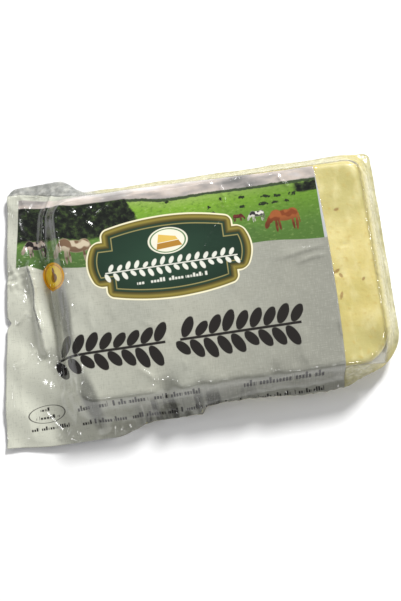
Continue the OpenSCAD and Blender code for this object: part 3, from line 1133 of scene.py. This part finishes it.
def floorPaper():
    # dull white paper, very slightly uneven
    material, start, place = newMaterial("floorPaper")
    shader = start.add("BsdfPrincipled", None, {
        "Base Color": place.grain(0.01, 2.0).blend(paint(250, 250, 250), paint(252, 252, 252)),
        "Roughness": 0.9,
        "Specular IOR Level": 0.0,
    })
    finish(start, shader)
    return material


# the pieces

filmGrid = {"printColumns": 236, "clearColumns": 40, "printRows": 168, "clearRows": 8}
cheeseGrid = {"around": 440, "capRings": 44}

printed = printedFilm()
clear = clearFilm("clearFilm", True)
clearInside = clearFilm("clearFilmInside", False)
cheeseMaterial = cheeseBody()
print("materials made")

planX, planY = sheetPlan(**filmGrid)
frontSheet = np.stack([planX, planY, frontHeight(planX, planY)], -1)
frontInner = frontSheet - gridNormals(frontSheet) * pouch["sheet"]
backSheet = np.stack([planX, planY, backHeight(planX, planY)], -1)
backInner = backSheet + gridNormals(backSheet) * pouch["sheet"]
print("film surfaces worked out", planX.shape)

inPrint = np.zeros((planX.shape[0] - 1, planX.shape[1] - 1), bool)
everywhere = np.ones_like(inPrint)
inPrint[: filmGrid["printColumns"], : filmGrid["printRows"]] = True
frontPoints = np.concatenate([frontSheet.reshape(-1, 3), frontInner.reshape(-1, 3)])
backPoints = np.concatenate([backInner.reshape(-1, 3), backSheet.reshape(-1, 3)])
films = [
    ("printed_front_film", frontPoints, inPrint, [printed, filmBack()], "printed_film"),
    ("clear_window_film", frontPoints, ~inPrint, [clear, clearInside], "clear_film"),
    ("clear_back_film", backPoints, everywhere, [clearInside, clear], "clear_film"),
]
pieces = []
for name, points, keep, materials, slotName in films:
    points, faces = tidyPoints(points, shellFaces(keep))
    pieces.append(makePiece(name, points, faces, materials, slotName))

points, rings = cheesePoints(**cheeseGrid)
faces = ringFaces(rings, cheeseGrid["around"])
pieces.append(makePiece("halloumi_block", points, faces, [cheeseMaterial], "cheese"))
for piece in pieces:
    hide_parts("cheese_pouch")
print("pieces made")

# floor, lights and camera

view = {"target": (0.004, -0.0035, 0.008), "away": 0.548, "tilt": 8.0, "roll": 8.4, "lens": 85.0}
light = {
    "key": (0.6, 0.93, 0.98),
    "keyWidth": 0.32,
    "keyPower": 24.0,
    "sparks": 13,           # a ring of small lamps, high and low in turn, for the glints
    "sparkWidth": 0.1,
    "sparkPower": 0.7,
    "ringRadius": 1.05,
    "ringHeight": 0.72,
    "ringStep": 0.3,
    "world": 0.21,
}
floorSize = 2.0

floorMesh = bpy.data.meshes.new("floor")
floorCorners = [(x * floorSize, y * floorSize, 0) for x, y in ((-1, -1), (1, -1), (1, 1), (-1, 1))]
floorMesh.from_pydata(floorCorners, [], [(0, 1, 2, 3)])
floorMesh.materials.append(floorPaper())
floor = bpy.data.objects.new("floor", floorMesh)
bpy.context.scene.collection.objects.link(floor)


def addLamp(name, spot, width, power):
    # a round lamp at a spot, turned to the object
    lamp = bpy.data.lights.new(name, "AREA")
    lamp.shape = "DISK"
    lamp.size = width
    lamp.energy = power
    holder = bpy.data.objects.new(name, lamp)
    holder.location = spot
    holder.rotation_euler = Vector(spot).to_track_quat("Z", "Y").to_euler()
    bpy.context.scene.collection.objects.link(holder)


addLamp("key", light["key"], light["keyWidth"], light["keyPower"])
for i in range(light["sparks"]):
    turn = math.tau * (i + 0.3) / light["sparks"]
    height = light["ringHeight"] + light["ringStep"] * (i % 2)
    spot = (light["ringRadius"] * math.cos(turn), light["ringRadius"] * math.sin(turn), height)
    addLamp("spark", spot, light["sparkWidth"], light["sparkPower"])

world = bpy.data.worlds.new("studio")
world.use_nodes = True
world.node_tree.nodes["Background"].inputs["Color"].default_value = (1, 1, 1, 1)
world.node_tree.nodes["Background"].inputs["Strength"].default_value = light["world"]
bpy.context.scene.world = world

roll = math.radians(view["roll"])
tilt = math.radians(view["tilt"])
right = Vector((math.cos(roll), -math.sin(roll), 0))
ahead = Vector((math.sin(roll), math.cos(roll), 0))
back = Vector((0, 0, math.cos(tilt))) - ahead * math.sin(tilt)
up = back.cross(right)
camera = bpy.data.objects.new("camera", bpy.data.cameras.new("camera"))
camera.data.lens = view["lens"]
camera.data.clip_start = 0.01
turned = Matrix((right, up, back)).transposed().to_4x4()
camera.matrix_world = Matrix.Translation(Vector(view["target"]) + back * view["away"]) @ turned
bpy.context.scene.collection.objects.link(camera)
bpy.context.scene.camera = camera
bpy.context.scene.view_settings.view_transform = "Standard"
bpy.context.scene.cycles.transparent_max_bounces = 24
print("floor, lights and camera made")
